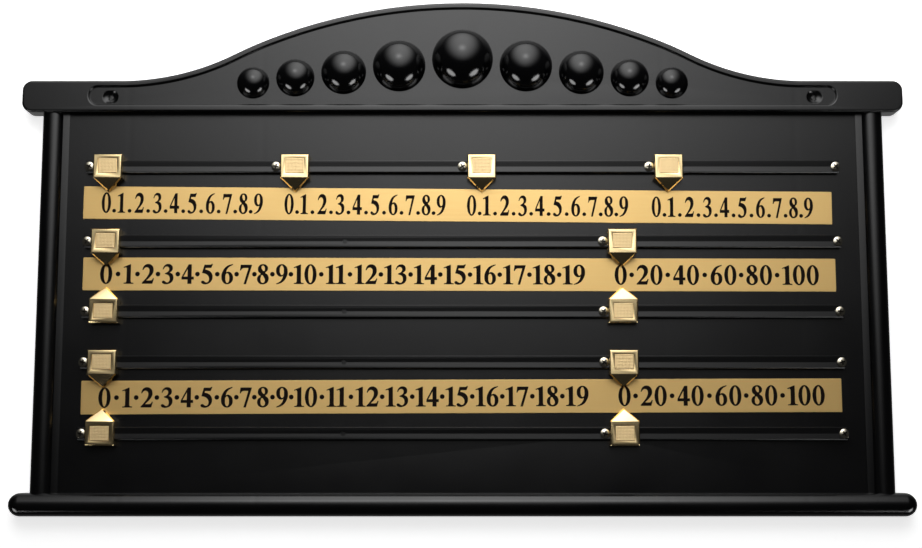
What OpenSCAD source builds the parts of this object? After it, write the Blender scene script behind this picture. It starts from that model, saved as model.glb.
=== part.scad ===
// Wall-hung scoring board for cue sports: a moulded black board with a crowned header,
// three gold number strips, and five rails on which twelve pointers slide.
// The board stands upright in the XZ plane and faces -Y. Its back lies on the wall plane Y = 0.
// The origin is midway between the two wall holes, on the wall plane. Heights are from there.

/* [Board] */
// Width of the header and of the ledge
board_w = 800; // [760:1:840]
// Width across the two side columns
panel_w = 765; // [740:1:780]
// How far the panel's face stands off the wall
panel_depth = 8; // [7:0.5:9]
// Thickness of the moulded wall
wall = 3.2; // [2.5:0.1:3.6]
// Drop from the wall holes to the top of the ledge
ledge_drop = 356.4; // [350:0.1:370]
// Height of the ledge, which ends in a full bullnose
ledge_h = 20.5; // [18:0.5:24]
// How far the ledge stands off the wall
ledge_depth = 21; // [19:0.5:25]
// Width of each half-round side column
column_w = 19; // [17:0.5:20]
// Height of a column's crown above the panel
column_rise = 7; // [5:0.5:8]
// Width of the raised fillet along the inside of each column
fillet_w = 5.5; // [4:0.5:6]
// Height of that fillet above the panel
fillet_rise = 1.2; // [0.8:0.1:2]

/* [Header] */
// Height of the header's straight ends
header_h = 29; // [26:0.5:32]
// How far the header's rim stands off the wall
header_depth = 18; // [16:0.5:19]
// Height of the crown above the wall holes
crown_h = 88; // [84:0.5:90]
// Radius of the header's four corners
header_corner = 9; // [4:0.5:12]
// Depth of the sunk field inside the rim
field_depth = 2; // [1:0.5:3]
// Width of the rim along the top and the crown
rim_w = 5.8; // [4:0.1:7]
// Height of the rim along the bottom
rim_bottom = 7; // [5:0.1:8]
// Length of the sunk field, over its round ends
field_w = 678; // [670:1:700]

/* [Half balls] */
// Diameter of the middle half ball
ball_d = 55.5; // [50:0.5:56]
// Gap between neighbouring half balls
ball_gap = 6; // [5:0.5:9]
// How far the smallest half ball's centre is above the wall holes
ball_base = 13.1; // [12:0.1:15]
// How much a centre rises for each millimetre of diameter
ball_lift = 0.86; // [0.8:0.01:0.9]
// Height of a half ball as a share of its radius
ball_rise = 0.75; // [0.6:0.05:0.9]
// Diameter of the peg that seats it in the header
peg_d = 6; // [5:0.5:8]

/* [Wall holes] */
// Distance between the two wall holes
wall_hole_gap = 640; // [620:1:650]
// Diameter of each wall hole
wall_hole_d = 4.5; // [4:0.5:6]
// Height of the smooth dimple round each wall hole
wall_sink_d = 12.5; // [11:0.5:13]
// Depth of that dimple
wall_sink_depth = 2.8; // [2:0.2:3.2]

/* [Strips] */
// Length of a number strip
strip_w = 678; // [660:1:690]
// Height of a number strip
strip_h = 30; // [26:0.5:32]
// Thickness of a number strip
strip_t = 0.5; // [0.4:0.1:0.8]
// Drop from the wall holes to the middle of the first strip
strip_1_drop = 98.7; // [95:0.1:102]
// Drop to the middle of the second strip
strip_2_drop = 161.9; // [158:0.1:166]
// Drop to the middle of the third strip
strip_3_drop = 271.4; // [267:0.1:275]

/* [Rails] */
// Drop from the wall holes to the first rail
rail_1_drop = 64.1; // [60:0.1:67]
// Drop to the second rail
rail_2_drop = 132.5; // [129:0.1:135]
// Drop to the third rail
rail_3_drop = 195.8; // [193:0.1:199]
// Drop to the fourth rail
rail_4_drop = 241.3; // [238:0.1:244]
// Drop to the fifth rail
rail_5_drop = 304.5; // [301:0.1:308]
// Height of a rail's flange
rail_h = 11.6; // [11:0.2:12]
// Height of the web behind the flange
web_h = 4; // [3:0.5:5]
// How far the web holds the flange off the panel
web_depth = 3; // [2.6:0.2:3.4]
// Depth of the shallow valley along the flange's face
valley = 0.6; // [0.2:0.1:1]
// Distance from the middle of the board to the end screws
end_screw_x = 337.5; // [330:0.5:340]
// Distance from the middle to the screw that parts units from hundreds
mid_screw_x = 126; // [110:1:140]
// How far a rail runs on past its end screws
rail_lap = 3; // [2:0.5:4]

/* [Screws] */
// Diameter of a screw's head
head_d = 8.4; // [7.5:0.1:9]
// Height of a screw's head
head_h = 2.6; // [2:0.1:3]
// Diameter of a screw's shank
shank_d = 2.9; // [2.5:0.1:3.5]
// Length of a screw under its head
screw_l = 10.4; // [9:0.2:11]
// Diameter of the sunk pin halfway along each long run
pin_d = 2.4; // [2:0.1:3]

/* [Pointers] */
// Width of a pointer
pointer_w = 26; // [24:0.5:28]
// Height of its square part
pointer_h = 21.5; // [20:0.5:23]
// Height of its pointed tip
tip_h = 12.2; // [10:0.1:14]
// How far a pointer's face stands off the wall
pointer_front = 19.2; // [18.8:0.1:20]
// Width of the bevel round a pointer's face
bevel = 1; // [0.5:0.1:1.5]
// Width of the sunk panel in a pointer's face
badge_w = 17; // [14:0.5:19]
// Height of the sunk panel in a pointer's face
badge_h = 13.5; // [11:0.5:15]
// Sliding clearance between a pointer and its rail
slide_gap = 0.15; // [0.1:0.05:0.3]

/* [Hidden] */
LETTERS = "abcd";
$fn = 96;
eps = 0.01;

// The header's outline: one wide arc, a tighter shoulder, a straight slope and a hollow sweep.
header_low = 14.2;
header_top = header_h - header_low;
crown_r = 474;
crown_turn = 22;
shoulder_r = 368;
slope = 27.1;
sweep_r = 228;
crown_mid = [0, crown_h - crown_r];
shoulder_mid = crown_mid + (crown_r - shoulder_r) * [sin(crown_turn), cos(crown_turn)];
shoulder_end = shoulder_mid + shoulder_r * [sin(slope), cos(slope)];
sweep_start_z = header_top + sweep_r * (1 - cos(slope));
sweep_start_x = shoulder_end[0] + (shoulder_end[1] - sweep_start_z) / tan(slope);
sweep_mid = [sweep_start_x + sweep_r * sin(slope), header_top + sweep_r];
field_corner = 7.6;
dimple_shift = 1.3;

// Points along an arc between two angles.
function arc(mid, r, from, to, steps) =
    [for (i = [0:steps]) let (a = from + (to - from) * i / steps) mid + r * [cos(a), sin(a)]];

// The right half of the header's outline, drawn inset: up its end, then over the crown.
function header_side(inset, half_w, bottom, r) = concat(
    arc([half_w - r, bottom + r], r, -90, 0, 10),
    arc([half_w - r, header_top - inset - r], r, 0, 90, 10),
    arc(sweep_mid, sweep_r + inset, 270, 270 - slope, 20),
    arc(shoulder_mid, shoulder_r - inset, 90 - slope, 90 - crown_turn, 12),
    arc(crown_mid, crown_r - inset, 90 - crown_turn, 90, 24)
);
function mirrored(points) = [for (i = [len(points) - 2:-1:0]) [-points[i][0], points[i][1]]];

nose_flat = 0.5;

// The back: a grid of ribs on the moulded wall.
bay_cols = 12;
bay_rows = 5;
rib_t = 2.4;
bay_span = panel_w - 2 * column_w;
bay_pitch = bay_span / bay_cols;
panel_h = ledge_drop - header_low;
row_pitch = panel_h / bay_rows;
header_bay_h = 60;
boss_r = 4.5;
function bay_x(c) = -bay_span / 2 + c * bay_pitch + rib_t;

// Half balls: diameters from the middle outwards, each about 0.86 of the last.
BALL_D = [ball_d, 48, 41, 35, 29.5];
ball_count = 2 * len(BALL_D) - 1;
function ball_x(k) = k == 0 ? 0 : ball_x(k - 1) + (BALL_D[k - 1] + BALL_D[k]) / 2 + ball_gap;
function ball_z(k) = ball_base + ball_lift * (BALL_D[k] - BALL_D[len(BALL_D) - 1]);
function ball_step(n) = abs(n - len(BALL_D));
function ball_at(n) = [sign(n - len(BALL_D)) * ball_x(ball_step(n)), ball_z(ball_step(n))];
field_y = -header_depth + field_depth;

// Each strip is laid by hand, so it has a small turn and a small shift of its own.
STRIP_Z = [-strip_1_drop, -strip_2_drop, -strip_3_drop];
STRIP_X = [-4.4, -2.9, -1];
STRIP_TURN = [-0.44, -0.1, 0.19];

// Rails and the screws on each, from the left.
RAIL_Z = [-rail_1_drop, -rail_2_drop, -rail_3_drop, -rail_4_drop, -rail_5_drop];
FIRST_X = [for (k = [-2:2]) k * end_screw_x / 2];
OTHER_X = [-end_screw_x, mid_screw_x, end_screw_x];
function screw_xs(row) = row == 1 ? FIRST_X : OTHER_X;
pin_x = (mid_screw_x - end_screw_x) / 2;
flange_back = -panel_depth - web_depth;
flange_t = 3;
crest = flange_back - flange_t;
seat_y = crest + 1;
pilot_y = seat_y + screw_l + 0.6;

// Pointers: rows 1, 2 and 4 point down, rows 3 and 5 point up.
POINTS_UP = [3, 5];
stop_gap = 0.15;
pointer_back = -panel_depth - 1;
slot_y = flange_back + slide_gap;
tip_t = 1.4;
badge_depth = 0.8;
spring_l = 20;
spring_h = 6;
spring_t = 0.3;
spring_bow = 1;
spring_r = (pow(spring_l / 2, 2) + pow(spring_bow, 2)) / (2 * spring_bow);
spring_crest = crest + valley * (1 - spring_h / rail_h) - 0.05;
pocket_y = spring_crest - spring_bow - spring_t;
function pointer_x(row, n) = screw_xs(row)[n] + head_d / 2 + stop_gap + pointer_w / 2;
function pointer_up(row) = len(search(row, POINTS_UP)) > 0;

// Stands an XZ outline up between two depths, both counted along Y.
module upright(front, back) {
    translate([0, back, 0]) rotate([90, 0, 0]) linear_extrude(back - front) children();
}

// Runs a YZ outline along X, centred.
module along_x(length) {
    rotate([90, 0, 90]) linear_extrude(length, center = true) children();
}

// A cylinder along Y between two depths.
module bore(x, z, d, front, back) {
    translate([x, back, z]) rotate([90, 0, 0]) cylinder(d = d, h = back - front);
}

// A bar with round corners.
module round_bar(width, bottom, top, r) {
    for (x = [-1, 1], z = [bottom + r, top - r]) translate([x * (width / 2 - r), z]) circle(r);
    translate([-width / 2 + r, bottom]) square([width - 2 * r, top - bottom]);
    translate([-width / 2, bottom + r]) square([width, top - bottom - 2 * r]);
}

module header_outline(inset, half_w, bottom, r) {
    right = header_side(inset, half_w, bottom, r);
    polygon(concat(right, mirrored(right)));
}

module ball_places() {
    for (n = [1:ball_count]) translate(ball_at(n)) children();
}

module screw_places() {
    for (row = [1:5], x = screw_xs(row)) translate([x, RAIL_Z[row - 1]]) children();
}

module pin_places() {
    for (row = [2:5]) translate([pin_x, RAIL_Z[row - 1]]) children();
}

// Bays between the ribs behind the panel, with a boss left standing at every screw.
module panel_bays() {
    difference() {
        for (c = [0:bay_cols - 1], r = [0:bay_rows - 1])
            translate([bay_x(c), -header_low - (r + 1) * row_pitch + rib_t])
                square([bay_pitch - 2 * rib_t, row_pitch - 2 * rib_t]);
        screw_places() circle(boss_r);
        pin_places() circle(boss_r);
    }
}

// Bays behind the header follow the crown and leave the wall holes and pegs in solid stock.
module header_bays() {
    difference() {
        intersection() {
            for (c = [0:bay_cols - 1], z = [-header_low + rib_t, header_top + rib_t])
                translate([bay_x(c), z])
                    square([bay_pitch - 2 * rib_t, z > 0 ? header_bay_h : header_h - 2 * rib_t]);
            header_outline(2 * rib_t, panel_w / 2, -header_low + rib_t, 2);
        }
        for (s = [-1, 1]) translate([s * wall_hole_gap / 2, 0]) circle(d = wall_sink_d + 3 * rib_t);
        ball_places() circle(d = peg_d + 2 * rib_t);
    }
}

module side_column() {
    r = (pow(column_w / 2, 2) + pow(column_rise, 2)) / (2 * column_rise);
    axis_y = -panel_depth - column_rise + r;
    bottom = -ledge_drop;
    intersection() {
        translate([(panel_w - column_w) / 2, axis_y, bottom]) cylinder(r = r, h = panel_h, $fn = 192);
        translate([panel_w / 2 - column_w, -header_depth, bottom - 1])
            cube([column_w, header_depth - panel_depth / 2, panel_h + 2]);
    }
    translate([panel_w / 2 - column_w - fillet_w, -panel_depth - fillet_rise, bottom])
        cube([fillet_w + 2, fillet_rise + 1, panel_h]);
}

// The ledge's half section, from its middle line up: a quarter round beside a narrow flat.
module nose(r) {
    q = r - nose_flat;
    translate([nose_flat, ledge_depth - q]) intersection() {
        circle(q);
        square(q);
    }
    square([r, ledge_depth - q]);
    square([nose_flat, ledge_depth]);
}

module ledge() {
    r = ledge_h / 2;
    translate([0, 0, -ledge_drop - r]) {
        along_x(board_w - ledge_h) rotate(90) union() {
            nose(r);
            mirror([1, 0]) nose(r);
        }
        for (s = [0, 1]) mirror([s, 0, 0]) translate([board_w / 2 - r, 0, 0])
            rotate([90, 0, 0]) rotate_extrude(angle = 180, start = -90) nose(r);
    }
}

module ledge_bays() {
    for (c = [0:bay_cols - 1])
        translate([bay_x(c), -ledge_depth + 2 * wall, -ledge_drop - ledge_h + wall])
            cube([bay_pitch - 2 * rib_t, ledge_depth, ledge_h - 2 * wall]);
}

// One of the two bowls that make a wall hole's oval dimple.
module dimple() {
    r = (pow(wall_sink_d / 2, 2) + pow(wall_sink_depth, 2)) / (2 * wall_sink_depth);
    intersection() {
        translate([0, field_y + wall_sink_depth - r, 0]) sphere(r);
        bore(0, 0, wall_sink_d, -header_depth, 0);
    }
}

module board() color([0.05, 0.05, 0.055]) {
    difference() {
        union() {
            upright(-panel_depth, 0)
                translate([-panel_w / 2, -ledge_drop - 1]) square([panel_w, panel_h + 2]);
            side_column();
            mirror([1, 0, 0]) side_column();
            upright(-header_depth, 0) header_outline(0, board_w / 2, -header_low, header_corner);
            ledge();
        }
        upright(-header_depth - 1, field_y)
            header_outline(rim_w, field_w / 2, -header_low + rim_bottom, field_corner);
        upright(-panel_depth + wall, 1) panel_bays();
        upright(field_y + wall, 1) header_bays();
        ledge_bays();
        for (s = [-1, 1]) {
            bore(s * wall_hole_gap / 2, 0, wall_hole_d, -header_depth, 1);
            for (t = [-1, 1]) translate([s * wall_hole_gap / 2 + t * dimple_shift, 0, 0]) dimple();
        }
        upright(field_y - 1, field_y + wall) ball_places() circle(d = peg_d);
        upright(-panel_depth - 1, pilot_y) screw_places() circle(d = shank_d);
        upright(-panel_depth - 1, -panel_depth + wall) pin_places() circle(d = pin_d);
    }
}

// Half ball number n, from the left, with the peg that seats it.
module half_ball(n) color([0.02, 0.02, 0.022]) {
    base_r = BALL_D[ball_step(n)] / 2;
    rise = base_r * ball_rise;
    r = (base_r * base_r + rise * rise) / (2 * rise);
    translate([ball_at(n)[0], field_y, ball_at(n)[1]]) rotate([90, 0, 0]) {
        intersection() {
            translate([0, 0, rise - r]) sphere(r, $fn = 128);
            cylinder(r = r + 1, h = rise + 1);
        }
        translate([0, 0, -wall]) cylinder(d = peg_d, h = wall + 1);
    }
}

module strip(n) color([0.83, 0.66, 0.35])
    translate([STRIP_X[n - 1], -panel_depth, STRIP_Z[n - 1]]) rotate([0, -STRIP_TURN[n - 1], 0])
        upright(-strip_t, 0) round_bar(strip_w, -strip_h / 2, strip_h / 2, 1);

// A T rail: a web on the panel and a flange with a shallow valley, which the pointers grip.
module rail(row) color([0.06, 0.06, 0.065])
    translate([0, 0, RAIL_Z[row - 1]]) difference() {
        union() {
            along_x(2 * (end_screw_x + rail_lap)) {
                polygon([
                    [flange_back, -rail_h / 2], [crest, -rail_h / 2], [crest + valley, 0],
                    [crest, rail_h / 2], [flange_back, rail_h / 2]
                ]);
                translate([flange_back - eps, -web_h / 2]) square([web_depth + eps, web_h]);
            }
        }
        for (x = screw_xs(row)) {
            bore(x, 0, shank_d + 0.3, crest - 1, 0);
            bore(x, 0, head_d + 0.2, crest - 1, seat_y);
        }
        if (row > 1) {
            bore(pin_x, 0, pin_d, crest - 1, 0);
            translate([pin_x, crest - eps, 0])
                rotate([-90, 0, 0]) cylinder(d1 = pin_d + 2.4, d2 = pin_d, h = 1.2);
        }
    }

// A pan-head screw with a cross recess, pointing along +Y.
module pan_screw() {
    dome_r = (pow(head_d / 2, 2) + pow(head_h - 0.8, 2)) / (2 * (head_h - 0.8));
    rotate([90, 0, 0]) {
        difference() {
            union() {
                cylinder(d = head_d, h = 0.8, $fn = 64);
                translate([0, 0, 0.8]) intersection() {
                    translate([0, 0, head_h - 0.8 - dome_r]) sphere(dome_r, $fn = 96);
                    cylinder(d = head_d, h = head_h, $fn = 64);
                }
            }
            for (a = [0, 90]) rotate(a) translate([-2, -0.45, head_h - 1.5]) cube([4, 0.9, 2]);
        }
        translate([0, 0, -screw_l]) cylinder(d = shank_d, h = screw_l + 0.4, $fn = 48);
    }
}

module screws(row) color([0.8, 0.76, 0.66])
    for (x = screw_xs(row)) translate([x, seat_y, RAIL_Z[row - 1]]) pan_screw();

module rail_pins() color([0.08, 0.08, 0.08])
    for (row = [2:5]) bore(pin_x, RAIL_Z[row - 1], pin_d, crest + 1.3, -panel_depth + wall);

// Outline of a pointer's front, tip down.
module house() {
    w = pointer_w / 2;
    h = pointer_h / 2;
    polygon([[-w, h], [w, h], [w, -h], [0, -h - tip_h], [-w, -h]]);
}

// Side profile of a pointer: bevelled top edge, and a tip that slopes back to the strip.
module pointer_side() {
    h = pointer_h / 2;
    front = -pointer_front;
    polygon([
        [pointer_back, h], [front + bevel, h], [front, h - bevel], [front, -h],
        [pointer_back - tip_t, -h - tip_h], [pointer_back, -h - tip_h]
    ]);
}

// Plan of a pointer: square sides, with a bevel on both front edges.
module pointer_plan() {
    w = pointer_w / 2;
    front = -pointer_front;
    polygon([
        [-w, pointer_back], [-w, front + bevel], [-w + bevel, front],
        [w - bevel, front], [w, front + bevel], [w, pointer_back]
    ]);
}

// A pointer with its rail slot, spring pocket and sunk front panel, tip down, at the origin.
module pointer_body() {
    slot_h = rail_h + 2 * slide_gap;
    web_gap = web_h + 4 * slide_gap;
    difference() {
        intersection() {
            upright(-pointer_front, pointer_back) house();
            along_x(pointer_w + 2) pointer_side();
            translate([0, 0, -pointer_h - tip_h]) linear_extrude(2 * (pointer_h + tip_h)) pointer_plan();
        }
        along_x(pointer_w + 4) {
            translate([crest - slide_gap, -slot_h / 2]) square([slot_y - crest + slide_gap, slot_h]);
            translate([crest, -web_gap / 2]) square([-crest, web_gap]);
        }
        translate([-spring_l / 2 - 0.5, pocket_y, -spring_h / 2 - 0.3])
            cube([spring_l + 1, crest - pocket_y, spring_h + 0.6]);
        translate([-badge_w / 2, -pointer_front - 1, -badge_h / 2])
            cube([badge_w, badge_depth + 1, badge_h]);
    }
}

module pointer(row, n) color([0.85, 0.68, 0.36])
    translate([pointer_x(row, n), 0, RAIL_Z[row - 1]])
        mirror([0, 0, pointer_up(row) ? 1 : 0]) pointer_body();

// A bowed leaf between the pointer and the crest of the rail.
module leaf_spring(row, n) color([0.72, 0.5, 0.3])
    translate([pointer_x(row, n), spring_crest - spring_r, RAIL_Z[row - 1] - spring_h / 2])
        linear_extrude(spring_h) intersection() {
            difference() {
                circle(spring_r, $fn = 720);
                circle(spring_r - spring_t, $fn = 720);
            }
            translate([-spring_l / 2, spring_r - spring_bow - spring_t]) square([spring_l, spring_r]);
        }

board();
for (n = [1:ball_count]) half_ball(n);
for (n = [1:3]) strip(n);
for (row = [1:5]) {
    rail(row);
    screws(row);
    for (n = [0:len(screw_xs(row)) - 2]) {
        pointer(row, n);
        leaf_spring(row, n);
    }
}
rail_pins();
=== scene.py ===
import math
import random

import bmesh
import bpy
from mathutils import Matrix, Vector


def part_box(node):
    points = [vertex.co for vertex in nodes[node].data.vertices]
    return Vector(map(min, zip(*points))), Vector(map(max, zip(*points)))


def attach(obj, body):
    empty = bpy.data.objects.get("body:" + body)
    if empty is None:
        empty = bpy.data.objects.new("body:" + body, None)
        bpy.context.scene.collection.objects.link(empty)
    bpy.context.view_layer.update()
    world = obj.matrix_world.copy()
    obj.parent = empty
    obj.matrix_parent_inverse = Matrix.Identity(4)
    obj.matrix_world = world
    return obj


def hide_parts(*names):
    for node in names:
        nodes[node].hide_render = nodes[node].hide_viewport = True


mm = 0.001  # the script works in metres, and sizes are given as millimetres times this
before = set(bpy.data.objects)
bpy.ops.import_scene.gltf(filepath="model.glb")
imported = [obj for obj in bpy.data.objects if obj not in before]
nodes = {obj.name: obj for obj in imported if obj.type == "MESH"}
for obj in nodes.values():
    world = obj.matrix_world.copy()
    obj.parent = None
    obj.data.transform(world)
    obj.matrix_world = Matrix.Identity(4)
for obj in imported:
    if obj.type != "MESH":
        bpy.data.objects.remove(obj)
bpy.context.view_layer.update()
print("frame loaded:", len(nodes), "nodes")


def middle(node):
    low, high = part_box(node)
    return (low + high) / 2


def colour(hexText):  # sRGB hex to linear RGBA
    parts = [int(hexText[i:i + 2], 16) / 255 for i in (1, 3, 5)]
    return [p / 12.92 if p <= 0.04045 else ((p + 0.055) / 1.055) ** 2.4 for p in parts] + [1.0]


def addNode(tree, kind, inputs=None, **settings):  # an input given as a socket is linked
    node = tree.nodes.new(kind)
    for name, value in settings.items():
        setattr(node, name, value)
    for socket, value in (inputs or {}).items():
        if isinstance(value, bpy.types.NodeSocket):
            tree.links.new(value, node.inputs[socket])
        else:
            node.inputs[socket].default_value = value
    return node


def newMaterial(name, base, rough, metal=0.0, ior=None, coat=0.0):
    material = bpy.data.materials.new(name)
    material.use_nodes = True
    tree = material.node_tree
    shader = tree.nodes["Principled BSDF"]
    shader.inputs["Base Color"].default_value = colour(base)
    shader.inputs["Roughness"].default_value = rough
    shader.inputs["Metallic"].default_value = metal
    shader.inputs["Coat Weight"].default_value = coat
    if ior:
        shader.inputs["IOR"].default_value = ior
    place = addNode(tree, "ShaderNodeTexCoord").outputs["Object"]
    return material, tree, shader, place


def noiseAt(tree, place, size, detail=2.0, stretch=(1, 1, 1)):  # noise with grains about `size` across
    scaled = addNode(tree, "ShaderNodeMapping", {"Vector": place, "Scale": stretch})
    noise = addNode(tree, "ShaderNodeTexNoise",
                    {"Vector": scaled.outputs["Vector"], "Scale": 1 / size, "Detail": detail})
    return noise.outputs["Fac"]


def between(tree, value, low, high, toLow, toHigh, curve="LINEAR"):
    return addNode(tree, "ShaderNodeMapRange", interpolation_type=curve, inputs={
        "Value": value, "From Min": low, "From Max": high,
        "To Min": toLow, "To Max": toHigh}).outputs["Result"]


def bump(tree, shader, height, depth, strength=1.0, under=None):
    given = {"Height": height, "Distance": depth, "Strength": strength}
    if under:
        given["Normal"] = under
    result = addNode(tree, "ShaderNodeBump", given).outputs["Normal"]
    tree.links.new(result, shader.inputs["Normal"])
    return result


def finishPiece(bm, name, material, node=None, body="root", smooth=35):
    mesh = bpy.data.meshes.new(name)
    bmesh.ops.recalc_face_normals(bm, faces=bm.faces)
    bm.to_mesh(mesh)
    bm.free()
    mesh.materials.append(material)
    piece = bpy.data.objects.new(name, mesh)
    bpy.context.scene.collection.objects.link(piece)
    mesh.shade_smooth()
    mesh.set_sharp_from_angle(angle=math.radians(smooth))
    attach(piece, body)
    if node:
        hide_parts(node)
    return piece


def weldedCopy(node):  # the CAD mesh with its seams closed and its flat faces made whole
    bm = bmesh.new()
    bm.from_mesh(nodes[node].data)
    bmesh.ops.remove_doubles(bm, verts=bm.verts, dist=0.001 * mm)
    bmesh.ops.dissolve_limit(bm, angle_limit=math.radians(1), verts=bm.verts, edges=bm.edges)
    return bm


def addMesh(bm, mesh):  # adds a mesh and gives back its own vertices
    before = set(bm.verts)
    bm.from_mesh(mesh)
    return [v for v in bm.verts if v not in before]


def roundEdges(bm, chosen, radius, steps=2):
    if chosen:
        bmesh.ops.bevel(bm, geom=chosen, offset=radius, offset_type="OFFSET", segments=steps,
                        profile=0.5, affect="EDGES", clamp_overlap=False)


def weigh(piece):  # keeps the large flat faces flat beside their rounded edges
    change = piece.modifiers.new("flatFaces", "WEIGHTED_NORMAL")
    change.keep_sharp = True
    bpy.context.view_layer.objects.active = piece
    with bpy.context.temp_override(object=piece, active_object=piece, selected_objects=[piece]):
        bpy.ops.object.modifier_apply(modifier=change.name)


def revolve(bm, profile, centre, steps):  # profile: (radius, y) pairs, turned about an axis along Y
    rings = []
    for radius, y in profile:
        if radius < 0.001 * mm:
            rings.append([bm.verts.new(centre + Vector((0, y, 0)))])
            continue
        turn = [2 * math.pi * k / steps for k in range(steps)]
        rings.append([bm.verts.new(centre + Vector((radius * math.cos(a), y, radius * math.sin(a))))
                      for a in turn])
    for one, two in zip(rings, rings[1:]):
        for k in range(steps):
            n = (k + 1) % steps
            if len(one) == 1:
                bm.faces.new((one[0], two[k], two[n]))
            elif len(two) == 1:
                bm.faces.new((one[n], one[k], two[0]))
            else:
                bm.faces.new((one[k], two[k], two[n], one[n]))
    return rings


view = {"x": -1.35 * mm, "y": -1347.3 * mm, "z": -336.0 * mm, "tiltUp": 7.43, "lens": 58.57}


def addCamera():
    data = bpy.data.cameras.new("camera")
    data.lens = view["lens"]
    data.sensor_width = 36
    data.clip_start = 0.01
    camera = bpy.data.objects.new("camera", data)
    camera.location = (view["x"], view["y"], view["z"])
    camera.rotation_euler = (math.radians(90 + view["tiltUp"]), 0, 0)
    bpy.context.scene.collection.objects.link(camera)
    bpy.context.scene.camera = camera
    bpy.context.scene.view_settings.view_transform = "Standard"


addCamera()


studio = {
    "background": 1.0,      # how bright the paper behind is to the eye
    "wallGlow": 0.76,       # the wall's own share, the rest comes from the lamps
    "wallGap": 4 * mm,      # how far behind the board the paper hangs
    "wallAlbedo": 0.9,
    "stageReach": 3000 * mm,  # half the size of the paper and the floor
    "floorDrop": 700 * mm,    # below the ledge
    # each soft lobe: azimuth from straight ahead, elevation, half width (degrees), brightness
    "lobes": [(-1, 35, 8, 3.0), (180, 50, 28, 0.5), (180, -12, 40, 0.35)],
    "base": 0.02,
    "cardReach": 650 * mm,  # from the middle half ball to the big overhead diffuser
    "cardLift": 50,         # its elevation from there
    "cardHalf": (465 * mm, 677 * mm),   # where its brightness has halved, across and down
    "cardGlow": 2.9,
    "cardFade": 1.2,        # 1 is a bell curve, more has a flatter middle and a steeper edge
    "cardEnd": (2.2, 2.0),  # the cloth ends this many half widths from its middle
    "boxSize": (1350 * mm, 680 * mm),   # the two low softboxes, long and short side
    "boxReach": 2400 * mm,
    "boxTurn": 65,          # each low softbox: azimuth to its side
    "boxDrop": -46,         # and elevation
    "boxPower": 17,
}


def lampDirection(azimuth, elevation):  # azimuth 0 is the viewer's side, -Y
    a, e = math.radians(azimuth), math.radians(elevation)
    return Vector((math.sin(a) * math.cos(e), -math.cos(a) * math.cos(e), math.sin(e)))


def addWorld():
    world = bpy.data.worlds.new("studioDome")
    bpy.context.scene.world = world
    world.use_nodes = True
    tree = world.node_tree
    back = tree.nodes["Background"]
    way = addNode(tree, "ShaderNodeTexCoord").outputs["Generated"]
    total = None
    for azimuth, elevation, halfWidth, power in studio["lobes"]:
        facing = addNode(tree, "ShaderNodeVectorMath", {0: way, 1: lampDirection(azimuth, elevation)},
                         operation="DOT_PRODUCT").outputs["Value"]
        front = addNode(tree, "ShaderNodeMath", {0: facing, 1: 0.0}, operation="MAXIMUM").outputs[0]
        sharp = math.log(0.5) / math.log(math.cos(math.radians(halfWidth)))
        lobe = addNode(tree, "ShaderNodeMath", {0: front, 1: sharp}, operation="POWER").outputs[0]
        start = studio["base"] if total is None else total
        total = addNode(tree, "ShaderNodeMath", {0: lobe, 1: power, 2: start},
                        operation="MULTIPLY_ADD").outputs[0]
    seen = addNode(tree, "ShaderNodeLightPath").outputs["Is Camera Ray"]
    strength = addNode(tree, "ShaderNodeMix", {0: seen, 2: total, 3: studio["background"]},
                       data_type="FLOAT").outputs[0]
    tree.links.new(strength, back.inputs["Strength"])
    back.inputs["Color"].default_value = (1, 1, 1, 1)


def addSoftboxes():
    for side in (-1, 1):
        way = lampDirection(side * studio["boxTurn"], studio["boxDrop"])
        lamp = bpy.data.lights.new("lowSoftbox", "AREA")
        lamp.shape = "ELLIPSE"
        lamp.size, lamp.size_y = studio["boxSize"]
        lamp.energy = studio["boxPower"]
        holder = bpy.data.objects.new("lowSoftbox", lamp)
        holder.location = middle("half_ball_5") + way * studio["boxReach"]
        across = way.cross(Vector((0, -1, 0))).normalized()    # its long side, square to the view
        holder.rotation_euler = Matrix((across, way.cross(across), way)).transposed().to_euler()
        holder.visible_camera = False
        bpy.context.scene.collection.objects.link(holder)


def stagePlane(name, corners, material):
    bm = bmesh.new()
    bm.faces.new([bm.verts.new(c) for c in corners])
    mesh = bpy.data.meshes.new(name)
    bm.to_mesh(mesh)
    bm.free()
    mesh.materials.append(material)
    plane = bpy.data.objects.new(name, mesh)
    bpy.context.scene.collection.objects.link(plane)
    plane.visible_glossy = False
    plane.visible_diffuse = False
    plane.visible_transmission = False
    return plane


def addStage():
    low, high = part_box("board")
    reach = studio["stageReach"]
    paper, tree, shader, place = newMaterial("whitePaperBackdrop", "#ffffff", 1.0)  # matt, soft shadows
    shader.inputs["Specular IOR Level"].default_value = 0.0
    shader.inputs["Base Color"].default_value = (studio["wallAlbedo"],) * 3 + (1,)
    shader.inputs["Emission Color"].default_value = (1, 1, 1, 1)
    shader.inputs["Emission Strength"].default_value = studio["wallGlow"]
    behind = addNode(tree, "ShaderNodeNewGeometry").outputs["Backfacing"]
    clear = addNode(tree, "ShaderNodeBsdfTransparent").outputs[0]
    mix = addNode(tree, "ShaderNodeMixShader", {0: behind, 1: shader.outputs[0], 2: clear})
    tree.links.new(mix.outputs[0], tree.nodes["Material Output"].inputs["Surface"])
    y = high.y + studio["wallGap"]
    wall = stagePlane("backdrop", [(-reach, y, -reach), (reach, y, -reach), (reach, y, reach),
                                   (-reach, y, reach)], paper)
    wall.visible_shadow = False
    ground, tree, shader, place = newMaterial("paleFloor", "#e9e8e6", 0.9)  # a plain matt floor
    z = low.z - studio["floorDrop"]
    stagePlane("floor", [(-reach, -reach, z), (reach, -reach, z), (reach, reach, z),
                         (-reach, reach, z)], ground)


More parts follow.
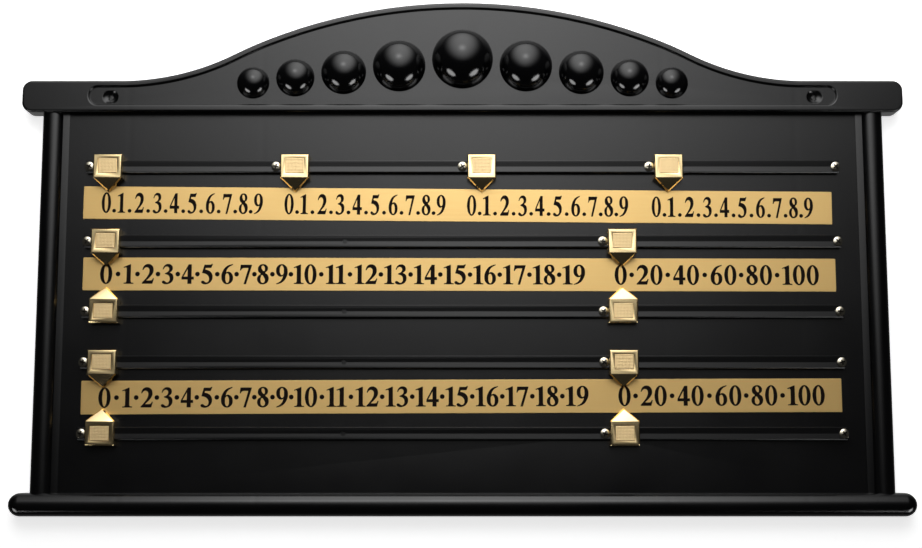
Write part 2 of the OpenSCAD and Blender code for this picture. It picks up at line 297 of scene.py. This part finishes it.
def addOverhead():  # a large cloth diffuser above and in front, bright in its middle and fading out
    cloth, tree, shader, place = newMaterial("diffuserCloth", "#ffffff", 1.0)
    across, down = studio["cardHalf"]
    scaled = addNode(tree, "ShaderNodeVectorMath", {0: place, 1: (1 / across, 1 / down, 0)},
                     operation="MULTIPLY").outputs["Vector"]
    square = addNode(tree, "ShaderNodeVectorMath", {0: scaled, 1: scaled},
                     operation="DOT_PRODUCT").outputs["Value"]
    steeper = addNode(tree, "ShaderNodeMath", {0: square, 1: studio["cardFade"]},
                      operation="POWER").outputs[0]
    fade = addNode(tree, "ShaderNodeMath", {0: 0.5, 1: steeper}, operation="POWER").outputs[0]
    glow = addNode(tree, "ShaderNodeMath", {0: fade, 1: studio["cardGlow"]},
                   operation="MULTIPLY").outputs[0]
    lit = addNode(tree, "ShaderNodeEmission", {"Strength": glow}).outputs[0]
    through = addNode(tree, "ShaderNodeBsdfTransparent").outputs[0]
    both = addNode(tree, "ShaderNodeAddShader", {0: lit, 1: through}).outputs[0]
    tree.links.new(both, tree.nodes["Material Output"].inputs["Surface"])
    w, h = studio["cardEnd"][0] * across, studio["cardEnd"][1] * down
    card = stagePlane("overheadDiffuser", [(-w, -h, 0), (w, -h, 0), (w, h, 0), (-w, h, 0)], cloth)
    way = lampDirection(0, studio["cardLift"])
    card.location = middle("half_ball_5") + way * studio["cardReach"]
    card.rotation_euler = way.to_track_quat("Z", "Y").to_euler()
    card.visible_camera = False
    card.visible_glossy = True
    card.visible_diffuse = True


addOverhead()
addWorld()
addSoftboxes()
addStage()
print("camera, lamps and stage are up")


sinkMarks = {"step": 121.2 * mm, "half": 5 * mm, "depth": 0.03 * mm}   # over the main ribs


def mouldedAbs():  # satin injection-moulded ABS: deep black, a broad soft sheen, faint orange peel
    material, tree, shader, place = newMaterial("blackMouldedAbs", "#050506", 0.24, ior=1.54)
    patches = noiseAt(tree, place, 60 * mm, 3.0)
    tree.links.new(between(tree, patches, 0.3, 0.7, 0.21, 0.27), shader.inputs["Roughness"])
    peel = noiseAt(tree, place, 5 * mm, 2.0)          # orange peel of the mould face
    under = bump(tree, shader, peel, 0.02 * mm)
    across = addNode(tree, "ShaderNodeSeparateXYZ", {0: place}).outputs["X"]
    half = sinkMarks["step"] / 2
    moved = addNode(tree, "ShaderNodeMath", {0: across, 1: half}, operation="ADD").outputs[0]
    away = addNode(tree, "ShaderNodeMath", {0: moved, 1: half}, operation="PINGPONG").outputs[0]
    sink = between(tree, away, 0.0, sinkMarks["half"], 0.0, 1.0, "SMOOTHSTEP")
    bump(tree, shader, sink, sinkMarks["depth"], under=under)
    return material


def polishedAbs():  # gloss-moulded ABS, the half balls: mirror-like black with soft-edged lights
    material, tree, shader, place = newMaterial("polishedBlackAbs", "#050506", 0.15, ior=1.5)
    peel = noiseAt(tree, place, 7 * mm, 1.0)
    bump(tree, shader, peel, 0.01 * mm)
    return material


def extrudedPvc():  # extruded rigid PVC, the rails: smooth, with faint drawing lines along its length
    material, tree, shader, place = newMaterial("blackExtrudedPvc", "#0c0c0d", 0.28, ior=1.53)
    drawn = noiseAt(tree, place, 1.2 * mm, 2.0, (0.02, 1, 1))
    bump(tree, shader, drawn, 0.012 * mm)
    return material


def goldFoil():  # gold anodised aluminium strip, satin: warm gold that fades away from the lamp
    material, tree, shader, place = newMaterial("goldAnodisedAluminium", "#f9d38b", 0.5, metal=1.0)
    drawn = noiseAt(tree, place, 0.8 * mm, 3.0, (0.03, 1, 1))   # brushed along the strip
    tree.links.new(between(tree, drawn, 0.3, 0.7, 0.45, 0.54), shader.inputs["Roughness"])
    bump(tree, shader, drawn, 0.004 * mm)
    return material


def printInk():  # screen-printed enamel ink: brown-black, slightly raised, half matt
    material, tree, shader, place = newMaterial("brownBlackInk", "#150a05", 0.75, ior=1.4)
    shader.inputs["Specular IOR Level"].default_value = 0.2
    grain = noiseAt(tree, place, 0.5 * mm)
    bump(tree, shader, grain, 0.01 * mm)
    return material


def goldPlate():  # polished gold-plated zinc, the pointers: a bright mirror with soft casting waves
    material, tree, shader, place = newMaterial("polishedGoldPlate", "#ffe4ac", 0.22, metal=1.0)
    waves = noiseAt(tree, place, 9 * mm, 1.0)
    bump(tree, shader, waves, 0.02 * mm)
    normal = addNode(tree, "ShaderNodeNewGeometry").outputs["Normal"]
    upright = addNode(tree, "ShaderNodeSeparateXYZ", {0: normal}).outputs["Z"]
    steep = addNode(tree, "ShaderNodeMath", {0: upright}, operation="ABSOLUTE").outputs[0]
    rough = between(tree, steep, 0.3, 0.5, 0.24, 0.13)     # satin face, bright slanted tip
    tree.links.new(rough, shader.inputs["Roughness"])
    return material


def knurledGold():  # pressed knurl in the pointers' sunk panels: paler and matt
    material, tree, shader, place = newMaterial("mattKnurledGold", "#ffe0a8", 0.4, metal=1.0)
    grain = noiseAt(tree, place, 0.5 * mm, 2.0)
    bump(tree, shader, grain, 0.03 * mm)
    return material


def nickelPlate():  # bright nickel-plated screw steel: pale, slightly warm mirror
    material, tree, shader, place = newMaterial("nickelPlatedSteel", "#e0d8c4", 0.16, metal=1.0)
    wear = noiseAt(tree, place, 1.5 * mm)
    tree.links.new(between(tree, wear, 0.3, 0.7, 0.12, 0.24), shader.inputs["Roughness"])
    return material


def recessSteel():  # floor and walls of the cross recesses: dull steel coloured nearly black, painted shade standing in for the shadow inside the recess, so the cross reads
    material, tree, shader, place = newMaterial("recessPaintedShadeSteel", "#2a2622", 0.5, metal=1.0)
    dullPatches = noiseAt(tree, place, 0.8 * mm)
    tree.links.new(between(tree, dullPatches, 0.3, 0.7, 0.45, 0.6), shader.inputs["Roughness"])
    return material


def blackenedSteel():  # oil-blackened pins: dark metal with a dull gleam
    material, tree, shader, place = newMaterial("blackenedSteel", "#1c1b1a", 0.35, metal=1.0)
    patches = noiseAt(tree, place, 1 * mm)
    tree.links.new(between(tree, patches, 0.3, 0.7, 0.3, 0.45), shader.inputs["Roughness"])
    return material


def springBronze():  # rolled phosphor bronze leaf: coppery, fine rolling lines
    material, tree, shader, place = newMaterial("phosphorBronze", "#c08a55", 0.3, metal=1.0)
    rolled = noiseAt(tree, place, 0.6 * mm, 2.0, (0.05, 1, 1))
    bump(tree, shader, rolled, 0.01 * mm)
    return material


boardBlack = mouldedAbs()
ballBlack = polishedAbs()
railBlack = extrudedPvc()
stripGold = goldFoil()
inkBrown = printInk()
pointerGold = goldPlate()
badgeGold = knurledGold()
screwNickel = nickelPlate()
screwRecessShade = recessSteel()
print("finishes mixed")


boardEdges = {"rimOuter": 2.2 * mm, "rimInner": 1.8 * mm, "corner": 0.5 * mm}   # rounding radii
boardPlaces = {"rimBack": 3 * mm, "fieldSink": 2 * mm, "fieldEnd": 341 * mm}


def boardGroups(bm):  # the header's edges, sorted by the rounding they get
    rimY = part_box("board")[0].y + boardPlaces["rimBack"]      # the header's face
    fieldY = rimY + boardPlaces["fieldSink"]
    groups = {name: [] for name in boardEdges}
    for edge in bm.edges:
        if len(edge.link_faces) != 2 or edge.calc_face_angle(0) < math.radians(25):
            continue
        ys = [v.co.y for v in edge.verts]
        spot = (edge.verts[0].co + edge.verts[1].co) / 2
        if all(abs(y - rimY) < 0.05 * mm for y in ys):
            side = min((f.normal for f in edge.link_faces), key=lambda n: abs(n.y))
            outer = abs(spot.x) > boardPlaces["fieldEnd"] or side.z * spot.z > 0
            groups["rimOuter" if outer else "rimInner"].append(edge)
        elif all(abs(y - fieldY) < 0.05 * mm for y in ys) and not edge.is_convex:
            groups["corner"].append(edge)
    return groups


def makeBoard():
    bm = weldedCopy("board")
    for name in ("rimOuter", "rimInner", "corner"):
        roundEdges(bm, boardGroups(bm)[name], boardEdges[name], 4 if name == "rimOuter" else 2)
    piece = finishPiece(bm, "mouldedBoard", boardBlack, "board", smooth=40)
    weigh(piece)


column = {"width": 19 * mm, "rise": 7 * mm, "proud": 0.03 * mm, "steps": 40, "panelHalf": 382.5 * mm,
          "panelFace": -8 * mm, "top": -13.2 * mm, "bottom": -357.4 * mm}


def makeColumn(side):  # the half-round side column as one true arc over the moulding
    half = column["width"] / 2
    radius = (half ** 2 + column["rise"] ** 2) / (2 * column["rise"])
    axisX = side * (column["panelHalf"] - half)
    axisY = column["panelFace"] - column["rise"] + radius
    edge = math.asin(half / radius)
    bm = bmesh.new()
    rows = []
    for z in (column["bottom"], column["top"]):
        arc = []
        for k in range(column["steps"] + 1):
            a = -edge + 2 * edge * k / column["steps"]
            r = radius + column["proud"]
            arc.append(bm.verts.new((axisX + r * math.sin(a), axisY - r * math.cos(a), z)))
        arc += [bm.verts.new((axisX + half, column["panelFace"] + 2 * mm, z)),
                bm.verts.new((axisX - half, column["panelFace"] + 2 * mm, z))]
        rows.append(arc)
        bm.faces.new(arc)
    count = len(rows[0])
    for k in range(count):
        n = (k + 1) % count
        bm.faces.new((rows[0][k], rows[0][n], rows[1][n], rows[1][k]))
    finishPiece(bm, "mouldedColumn_left" if side < 0 else "mouldedColumn_right", boardBlack,
                smooth=30)


makeBoard()
for side in (-1, 1):
    makeColumn(side)
print("board made")


ballShape = {
    "rise": 0.75,                       # dome height as a share of the radius
    "seat": 0.6 * mm, "sink": 0.2 * mm,
    "peg": 3 * mm, "pegEdge": 0.4 * mm,
    "rings": 28, "around": 96,
}


def makeBall(number):
    name = f"half_ball_{number}"
    low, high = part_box(name)
    radius = (high.x - low.x) / 2
    centre = Vector(((low.x + high.x) / 2, 0, (low.z + high.z) / 2))
    base = low.y + radius * ballShape["rise"]
    rise = radius * ballShape["rise"]
    domeR = (radius ** 2 + rise ** 2) / (2 * rise)
    edge = math.asin(radius / domeR)
    profile = [(0, low.y)]
    for k in range(1, ballShape["rings"] + 1):
        a = edge * k / ballShape["rings"]
        profile.append((domeR * math.sin(a), low.y + domeR * (1 - math.cos(a))))
    peg, pegEdge, back = ballShape["peg"], ballShape["pegEdge"], base + ballShape["sink"]
    profile += [(radius - ballShape["seat"], back), (peg, back),
                (peg, high.y - pegEdge), (peg - pegEdge, high.y), (0, high.y)]
    bm = bmesh.new()
    revolve(bm, profile, centre, ballShape["around"])
    finishPiece(bm, f"polishedBall_{number}", ballBlack, name)


for number in range(1, 10):
    makeBall(number)
print("half balls made")


stripEdge = 0.38 * mm


def makeStrip(number):
    bm = weldedCopy(f"strip_{number}")
    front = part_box(f"strip_{number}")[0].y
    chosen = [e for e in bm.edges if all(abs(v.co.y - front) < 0.01 * mm for v in e.verts)]
    roundEdges(bm, chosen, stripEdge, 2)
    piece = finishPiece(bm, f"goldStrip_{number}", stripGold, f"strip_{number}")
    weigh(piece)


# Digits are drawn 1 high; a third value of 0 marks a corner, the other points are smooth.
digitShapes = {
    "1": [[(0.09, 0, 0), (0.53, 0, 0), (0.53, 0.035, 0), (0.43, 0.06), (0.40, 0.15, 0), (0.40, 1, 0),
           (0.37, 1, 0), (0.07, 0.86, 0), (0.085, 0.83, 0), (0.18, 0.85), (0.22, 0.79, 0),
           (0.22, 0.15, 0), (0.19, 0.06), (0.09, 0.035, 0)]],
    "2": [[(0.02, 0, 0), (0.50, 0, 0), (0.57, 0.27, 0), (0.535, 0.28, 0), (0.48, 0.18), (0.38, 0.155, 0),
           (0.20, 0.155, 0), (0.38, 0.35), (0.51, 0.54), (0.545, 0.72), (0.47, 0.94), (0.29, 1.02),
           (0.11, 0.93), (0.03, 0.73, 0), (0.065, 0.72, 0), (0.13, 0.82), (0.22, 0.86), (0.33, 0.80),
           (0.365, 0.66), (0.31, 0.45), (0.18, 0.24), (0.02, 0.04, 0)]],
    "3": [[(0.05, 0.76, 0), (0.13, 0.94), (0.29, 1.02), (0.45, 0.96), (0.51, 0.81), (0.47, 0.67),
           (0.36, 0.58, 0), (0.49, 0.50), (0.55, 0.32), (0.48, 0.10), (0.29, -0.015), (0.10, 0.0),
           (0.025, 0.075), (0.06, 0.145), (0.13, 0.14), (0.21, 0.075), (0.28, 0.055), (0.36, 0.12),
           (0.39, 0.27), (0.33, 0.43), (0.16, 0.51, 0), (0.16, 0.54, 0), (0.30, 0.62), (0.355, 0.76),
           (0.31, 0.87), (0.22, 0.90), (0.14, 0.86), (0.08, 0.75, 0)]],
    "4": [[(0.34, 1, 0), (0.475, 1, 0), (0.475, 0.36, 0), (0.58, 0.36, 0), (0.58, 0.225, 0),
           (0.475, 0.225, 0), (0.475, 0, 0), (0.30, 0, 0), (0.30, 0.225, 0), (0.02, 0.225, 0),
           (0.02, 0.34, 0)],
          [(0.30, 0.79, 0), (0.30, 0.36, 0), (0.09, 0.36, 0)]],
    "5": [[(0.16, 0.985, 0), (0.44, 0.985, 0), (0.515, 1.03, 0), (0.54, 1.01, 0), (0.47, 0.83, 0),
           (0.21, 0.83, 0), (0.185, 0.735, 0), (0.36, 0.68), (0.49, 0.55), (0.54, 0.36), (0.47, 0.12),
           (0.28, -0.015), (0.09, 0.0), (0.02, 0.075), (0.06, 0.145), (0.13, 0.14), (0.21, 0.075),
           (0.27, 0.06), (0.35, 0.11), (0.39, 0.26), (0.33, 0.43), (0.20, 0.53), (0.055, 0.565, 0)]],
    "6": [[(0.54, 1.02, 0), (0.54, 0.99, 0), (0.37, 0.88), (0.26, 0.71), (0.235, 0.58, 0), (0.34, 0.625),
           (0.48, 0.55), (0.56, 0.32), (0.49, 0.08), (0.30, -0.02), (0.11, 0.08), (0.03, 0.36),
           (0.10, 0.68), (0.28, 0.92)],
          [(0.30, 0.55), (0.375, 0.46), (0.40, 0.28), (0.37, 0.10), (0.30, 0.035), (0.225, 0.12),
           (0.20, 0.32), (0.225, 0.50)]],
    "7": [[(0.05, 0.985, 0), (0.56, 0.985, 0), (0.56, 0.95, 0), (0.30, -0.015, 0), (0.20, -0.015, 0),
           (0.42, 0.83, 0), (0.18, 0.83, 0), (0.10, 0.79), (0.055, 0.70, 0), (0.02, 0.70, 0)]],
    "8": [[(0.30, 1.02), (0.46, 0.955), (0.52, 0.80), (0.48, 0.67), (0.40, 0.58), (0.51, 0.46),
           (0.56, 0.27), (0.48, 0.06), (0.29, -0.02), (0.10, 0.06), (0.03, 0.25), (0.08, 0.41),
           (0.19, 0.52), (0.10, 0.62), (0.06, 0.77), (0.13, 0.95)],
          [(0.30, 0.96), (0.365, 0.90), (0.385, 0.79), (0.35, 0.66), (0.24, 0.76), (0.215, 0.86),
           (0.24, 0.94)],
          [(0.29, 0.04), (0.37, 0.09), (0.40, 0.21), (0.35, 0.34), (0.24, 0.46), (0.19, 0.36),
           (0.175, 0.22), (0.21, 0.09)]],
}
ringTurn = [math.pi * k / 5 for k in range(10)]
digitShapes["0"] = [[(0.295 + rx * math.sin(a), 0.5 + rz * math.cos(a)) for a in ringTurn]
                    for rx, rz in ((0.275, 0.52), (0.115, 0.46))]
digitShapes["9"] = [[(0.59 - p[0], 1 - p[1], *p[2:]) for p in loop] for loop in digitShapes["6"]]
digitMiddle = 0.295

printing = {
    "inkRise": 0.08 * mm,
    "slimDigit": (14.8 * mm, 18.0 * mm),       # width and height scale on the first strip
    "wideDigit": (19.2 * mm, 17.4 * mm),       # and on the other two
    "slimDot": 3.4 * mm,
    "wideDot": 4.2 * mm,
    "room": {"1": 9.0 * mm, "other": 12.5 * mm},   # along the line for a 1 and for any other digit
    "bold": 0.008,                             # how much the strokes are fattened, 1 being the height
    "slimStarts": [-318.1 * mm, -152.6 * mm, 12.7 * mm, 179.9 * mm],
    "slimSteps": [13.6, 16.3, 16.3, 15.4, 16.3, 16.3, 15.4, 14.5, 13.6],
    "wideStart": -317.8 * mm,
    "wideSteps": [20.0, 17.7, 17.9, 17.7, 17.7, 18.0, 16.8, 15.3, 17.0, 20.4, 28.0] + [26.74] * 8,
    "wideHundreds": {"0": 145.3, "20": 171.2, "40": 204.1, "60": 237.7, "80": 269.7, "100": 306.5},
    "reach": 0.275,                            # half a digit's ink, as a share of the width scale
    "slimOne": 0.75,                           # and how much of that a 1 takes
}


def digitMesh(character):  # the digit as a flat-topped relief, 1 high, with its face to -Y
    curve = bpy.data.curves.new("digit", "CURVE")
    curve.dimensions = "2D"
    curve.fill_mode = "BOTH"
    curve.resolution_u = 5
    curve.extrude = 0.5
    curve.offset = printing["bold"]
    for loop in digitShapes[character]:
        spline = curve.splines.new("BEZIER")
        spline.bezier_points.add(len(loop) - 1)
        spline.use_cyclic_u = True
        for point, spot in zip(spline.bezier_points, loop):
            point.co = (spot[0] - digitMiddle, spot[1] - 0.5, 0)
            kind = "VECTOR" if len(spot) == 3 else "AUTO"
            point.handle_left_type = point.handle_right_type = kind
    holder = bpy.data.objects.new("digit", curve)
    bpy.context.scene.collection.objects.link(holder)
    bpy.context.view_layer.update()
    solved = holder.evaluated_get(bpy.context.evaluated_depsgraph_get())
    mesh = bpy.data.meshes.new_from_object(solved)
    mesh.transform(Matrix.Rotation(math.radians(90), 4, "X"))
    bpy.data.objects.remove(holder)
    return mesh


digitMeshes = {c: digitMesh(c) for c in digitShapes}


def spread(start, steps):  # 0, 1, 2 … set out from a start by the given steps
    places = [start]
    for step in steps:
        places.append(places[-1] + step * mm)
    return [(str(n), x) for n, x in enumerate(places)]


def wideNumbers():  # 0 to 19, then the hundreds in twenties: (text, x)
    units = spread(printing["wideStart"], printing["wideSteps"])
    return [units, [(text, x * mm) for text, x in printing["wideHundreds"].items()]]


def slimNumbers():  # four runs of 0 to 9
    return [spread(start, printing["slimSteps"]) for start in printing["slimStarts"]]


def stampDigit(bm, character, x, size):
    for v in addMesh(bm, digitMeshes[character]):
        v.co = Vector((v.co.x * size[0] + x, v.co.y * printing["inkRise"], v.co.z * size[1]))


def stampDot(bm, x, z, d):
    half = printing["inkRise"] / 2
    revolve(bm, [(0, half), (d / 2, half), (d / 2, -half), (0, -half)], Vector((x, 0, z)), 24)


def printStrip(number):
    slim = number == 1
    size = printing["slimDigit" if slim else "wideDigit"]
    halfDigit = printing["reach"] * size[0]
    halfOne = halfDigit * printing["slimOne"]
    room = printing["room"]
    bm = bmesh.new()
    for run in (slimNumbers() if slim else wideNumbers()):
        spans = []
        for text, x in run:
            rooms = [room.get(c, room["other"]) for c in text]
            steps = [(a + b) / 2 for a, b in zip(rooms, rooms[1:])]
            at = x - sum(steps) / 2
            first = at
            for character, step in zip(text, steps + [0]):
                stampDigit(bm, character, at, size)
                at += step
            spans.append((first - (halfOne if text[0] == "1" else halfDigit),
                          x + sum(steps) / 2 + (halfOne if text[-1] == "1" else halfDigit)))
        for one, two in zip(spans, spans[1:]):
            dotX = (one[1] + two[0]) / 2
            if slim:
                stampDot(bm, dotX, -0.5 * size[1] + printing["slimDot"] / 2, printing["slimDot"])
            else:
                stampDot(bm, dotX, 0, printing["wideDot"])
    bmesh.ops.remove_doubles(bm, verts=bm.verts, dist=0.001 * mm)
    low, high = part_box(f"strip_{number}")
    turn = stripTurn(number)
    centre = Vector(((low.x + high.x) / 2, low.y - printing["inkRise"] / 2, (low.z + high.z) / 2))
    bm.transform(Matrix.Translation(centre) @ Matrix.Rotation(turn, 4, "Y"))
    finishPiece(bm, f"printedNumbers_{number}", inkBrown, smooth=30)


def stripTurn(number):  # the strip's own small turn, read from where its two ends lie
    mesh = nodes[f"strip_{number}"].data
    low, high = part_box(f"strip_{number}")
    span = 20 * mm
    left = [v.co.z for v in mesh.vertices if v.co.x < low.x + span]
    right = [v.co.z for v in mesh.vertices if v.co.x > high.x - span]
    drop = (max(left) + min(left)) / 2 - (max(right) + min(right)) / 2
    return math.atan2(drop, high.x - low.x)


for number in (1, 2, 3):
    makeStrip(number)
    printStrip(number)
print("strips made and printed")


railShape = {
    "groove": 0.75 * mm,                # how deep the shallow V along the face is
    "grooveAt": 0.2 * mm,               # its bottom above the rail's middle
    "lower": 0.35 * mm,                 # the lower lip stands back this much
    "nose": 1.0 * mm,                   # the rounding under the lower lip
    "flange": 3 * mm, "web": 4 * mm,    # thicknesses of the T
    "seat": 8.6 * mm, "seatDepth": 1 * mm,
    "pinSink": 4.4 * mm, "pinDepth": 1.25 * mm,
    "edge": 0.25 * mm,
}


def railSection(low, high):  # (y, z) points round the T, from the top of the web
    s = railShape
    top, bottom, front = high.z, low.z, low.y
    flangeBack = front + s["flange"]
    mid = (top + bottom) / 2
    return [
        (high.y, mid + s["web"] / 2), (flangeBack, mid + s["web"] / 2), (flangeBack, top),
        (front, top), (front + s["groove"], mid + s["grooveAt"]),
        (front + s["lower"], bottom + s["nose"]), (front + s["lower"] + s["nose"], bottom),
        (flangeBack, bottom), (flangeBack, mid - s["web"] / 2), (high.y, mid - s["web"] / 2),
    ]


def cutAway(piece, bm, name):  # takes the shape in bm out of the piece
    mesh = bpy.data.meshes.new(name)
    bm.to_mesh(mesh)
    bm.free()
    cutter = bpy.data.objects.new(name, mesh)
    bpy.context.scene.collection.objects.link(cutter)
    cut = piece.modifiers.new(name, "BOOLEAN")
    cut.object = cutter
    cut.solver = "EXACT"
    with bpy.context.temp_override(object=piece, active_object=piece, selected_objects=[piece]):
        bpy.ops.object.modifier_apply(modifier=cut.name)
    bpy.data.objects.remove(cutter)


def cutHoles(piece, drills):  # drills: list of (centre, radius, front, back)
    bm = bmesh.new()
    for centre, radius, front, back in drills:
        revolve(bm, [(0, front), (radius, front), (radius, back), (0, back)],
                Vector((centre.x, 0, centre.z)), 48)
    bmesh.ops.recalc_face_normals(bm, faces=bm.faces)
    cutAway(piece, bm, "holes")


def screwSpots(row):  # centres of a row's screw heads, from the loose solids of its node
    mesh = nodes[f"screws_{row}"].data
    xs = sorted(v.co.x for v in mesh.vertices)
    groups = [[xs[0]]]
    for x in xs[1:]:
        if x - groups[-1][-1] > 5 * mm:
            groups.append([])
        groups[-1].append(x)
    z = middle(f"screws_{row}").z
    return [Vector(((g[0] + g[-1]) / 2, 0, z)) for g in groups]


def makeRail(row):
    name = f"rail_{row}"
    low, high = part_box(name)
    bm = bmesh.new()
    section = railSection(low, high)
    ends = [[bm.verts.new((x, y, z)) for y, z in section] for x in (low.x, high.x)]
    for end in ends:
        bm.faces.new(end)
    for k in range(len(section)):
        n = (k + 1) % len(section)
        bm.faces.new((ends[0][k], ends[0][n], ends[1][n], ends[1][k]))
    bmesh.ops.recalc_face_normals(bm, faces=bm.faces)
    flangeBack = low.y + railShape["flange"]
    front = [e for e in bm.edges if all(v.co.y < flangeBack - 0.2 * mm for v in e.verts)]
    roundEdges(bm, front, railShape["edge"], 2)
    piece = finishPiece(bm, f"extrudedRail_{row}", railBlack, name, smooth=30)
    clear = low.y - 1 * mm
    drills = [(spot, railShape["seat"] / 2, clear, low.y + railShape["seatDepth"])
              for spot in screwSpots(row)]
    if row > 1:
        pin = Vector((middle("rail_pins").x, 0, (low.z + high.z) / 2))
        drills.append((pin, railShape["pinSink"] / 2, clear, low.y + railShape["pinDepth"]))
    cutHoles(piece, drills)
    piece.data.set_sharp_from_angle(angle=math.radians(30))


for row in range(1, 6):
    makeRail(row)
print("rails made")


screwShape = {
    "head": 4.2 * mm, "height": 2.6 * mm, "rim": 1.7 * mm, "rimEdge": 0.1 * mm,
    "crossW": 1.35 * mm, "crossL": 5.6 * mm, "crossDepth": 2.0 * mm, "crossTaper": 0.7,
    "shank": 1.45 * mm, "thread": 1.05 * mm, "pitch": 1.2 * mm, "plain": 1.5 * mm,
}


def screwMesh(front, back):  # one pan-head screw at the origin, its head's crown at y = front
    s = screwShape
    headBack = front + s["height"]
    dome = s["height"] - s["rim"]
    domeR = (s["head"] ** 2 + dome ** 2) / (2 * dome)
    edge = math.asin(s["head"] / domeR)
    profile = [(0, front)]
    for k in range(1, 11):
        a = edge * k / 10
        profile.append((domeR * math.sin(a), front + domeR * (1 - math.cos(a))))
    profile += [(s["head"], headBack - s["rimEdge"]), (s["head"] - s["rimEdge"], headBack),
                (s["shank"], headBack)]
    y = headBack + s["plain"]
    while y < back - 2 * s["pitch"]:
        profile += [(s["thread"], y), (s["shank"], y + s["pitch"] / 2)]
        y += s["pitch"]
    profile += [(s["thread"], y), (0, back)]
    bm = bmesh.new()
    revolve(bm, profile, Vector((0, 0, 0)), 40)
    bmesh.ops.recalc_face_normals(bm, faces=bm.faces)
    mesh = bpy.data.meshes.new("screw")
    bm.to_mesh(mesh)
    bm.free()
    piece = bpy.data.objects.new("screw", mesh)
    bpy.context.scene.collection.objects.link(piece)
    for turn in (0, 90):                       # the cross recess, two tapered slots
        slot = bmesh.new()
        bmesh.ops.create_cube(slot, size=1)
        for v in slot.verts:
            deep = v.co.y > 0
            v.co = Vector((v.co.x * s["crossL"] * (s["crossTaper"] if deep else 1.0),
                           front + (s["crossDepth"] if deep else -0.5 * mm), v.co.z * s["crossW"]))
        slot.transform(Matrix.Rotation(math.radians(turn), 4, "Y"))
        cutAway(piece, slot, "cross")
    mesh = piece.data
    for face in mesh.polygons:                 # what lies well under the crown is the recess
        off = math.hypot(face.center.x, face.center.z)
        crown = front + domeR - math.sqrt(domeR ** 2 - min(off, s["head"]) ** 2)
        if off < s["crossL"] / 2 + 0.1 * mm and crown + 0.1 * mm < face.center.y < headBack:
            # these recess faces take the second slot, the nearly black painted recess shade
            face.material_index = 1
    bpy.data.objects.remove(piece)
    return mesh


dice = random.Random(7)
oneScrew = screwMesh(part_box("screws_1")[0].y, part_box("screws_1")[1].y)


def makeScrews(row):
    bm = bmesh.new()
    for spot in screwSpots(row):
        turn = Matrix.Rotation(math.radians(dice.uniform(0, 90)), 4, "Y")
        for v in addMesh(bm, oneScrew):
            v.co = turn @ v.co + spot
    piece = finishPiece(bm, f"crossScrews_{row}", screwNickel, f"screws_{row}",
                        smooth=30)
    # the second slot holds the painted shade of the cross recesses
    piece.data.materials.append(screwRecessShade)


for row in range(1, 6):
    makeScrews(row)
print("screws driven")


pointerShape = {
    "tip": 12.2 * mm,                                  # from the shoulders to the point
    "tipBevel": 1.3 * mm, "edge": 0.22 * mm,
    "panel": (17 * mm, 13.5 * mm), "panelSink": 0.8 * mm,
    "panelMid": 10.75 * mm,                            # from the blunt end
    "badgeGap": 0.3 * mm, "badgeDepth": 0.55 * mm,
    "knurl": 1.3 * mm, "knurlRise": 0.2 * mm,
}


def makePointer(mark):
    node = f"pointer_{mark}"
    body = f"slider_{mark}"
    low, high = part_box(node)
    up = mark[0] in "35"                               # these two rails' pointers point up
    bm = weldedCopy(node)
    tipZ = high.z if up else low.z
    shoulder = tipZ + pointerShape["tip"] * (-1 if up else 1)
    long = pointerShape["tip"] * 2 / 3
    diagonals, others = [], []
    for edge in bm.edges:
        if edge.calc_face_angle(0) < math.radians(20) or not edge.is_convex:
            continue
        one, two = edge.verts[0].co, edge.verts[1].co
        inTip = all((z - shoulder) * (tipZ - shoulder) >= -1e-9 for z in (one.z, two.z))
        slanted = abs(one.x - two.x) > long and abs(one.z - two.z) > long
        onFront = max(one.y, two.y) < high.y - 0.5 * mm
        if inTip and slanted and onFront:
            diagonals.append(edge)
        elif min(one.y, two.y) < low.y + 1.5 * mm:
            others.append(edge)
    roundEdges(bm, diagonals, pointerShape["tipBevel"], 1)
    roundEdges(bm, [e for e in others if e.is_valid], pointerShape["edge"], 2)
    finishPiece(bm, f"goldPointer_{mark}", pointerGold, node, body, 24)
    makeBadge(mark, low, high, up)


def makeBadge(mark, low, high, up):  # the pressed knurl in the sunk panel: rows of low pyramids
    s = pointerShape
    width, height = (size - 2 * s["badgeGap"] for size in s["panel"])
    centreX = (low.x + high.x) / 2
    squareMid = (low.z + s["panelMid"]) if up else (high.z - s["panelMid"])
    floorY = low.y + s["panelSink"]
    faceY = floorY - s["badgeDepth"]
    cols, rows = round(width / s["knurl"]), round(height / s["knurl"])
    bm = bmesh.new()
    grid = [[bm.verts.new((centreX - width / 2 + width * c / cols, faceY,
                           squareMid - height / 2 + height * r / rows))
             for c in range(cols + 1)] for r in range(rows + 1)]
    for r in range(rows):
        for c in range(cols):
            around = [grid[r][c], grid[r][c + 1], grid[r + 1][c + 1], grid[r + 1][c]]
            peak = sum((v.co for v in around), Vector()) / 4
            top = bm.verts.new((peak.x, faceY - s["knurlRise"], peak.z))
            for k in range(4):
                bm.faces.new((around[k], around[(k + 1) % 4], top))
    border = grid[0] + [grid[r][cols] for r in range(1, rows + 1)]
    border += grid[rows][-2::-1] + [grid[r][0] for r in range(rows - 1, 0, -1)]
    back = [bm.verts.new((v.co.x, floorY + 0.02 * mm, v.co.z)) for v in border]
    for k in range(len(border)):
        n = (k + 1) % len(border)
        bm.faces.new((border[k], border[n], back[n], back[k]))
    bm.faces.new(back)
    finishPiece(bm, f"knurledBadge_{mark}", badgeGold, body=f"slider_{mark}",
                smooth=10)


marks = sorted(n[len("pointer_"):] for n in nodes if n.startswith("pointer_"))
for mark in marks:
    makePointer(mark)
print("pointers made:", len(marks))


steelBlack, bronze = blackenedSteel(), springBronze()
for name, node in nodes.items():       # the CAD pieces that stay
    if name == "rail_pins":
        node.data.materials[0] = steelBlack
    if name.startswith("spring_"):
        node.data.materials[0] = bronze
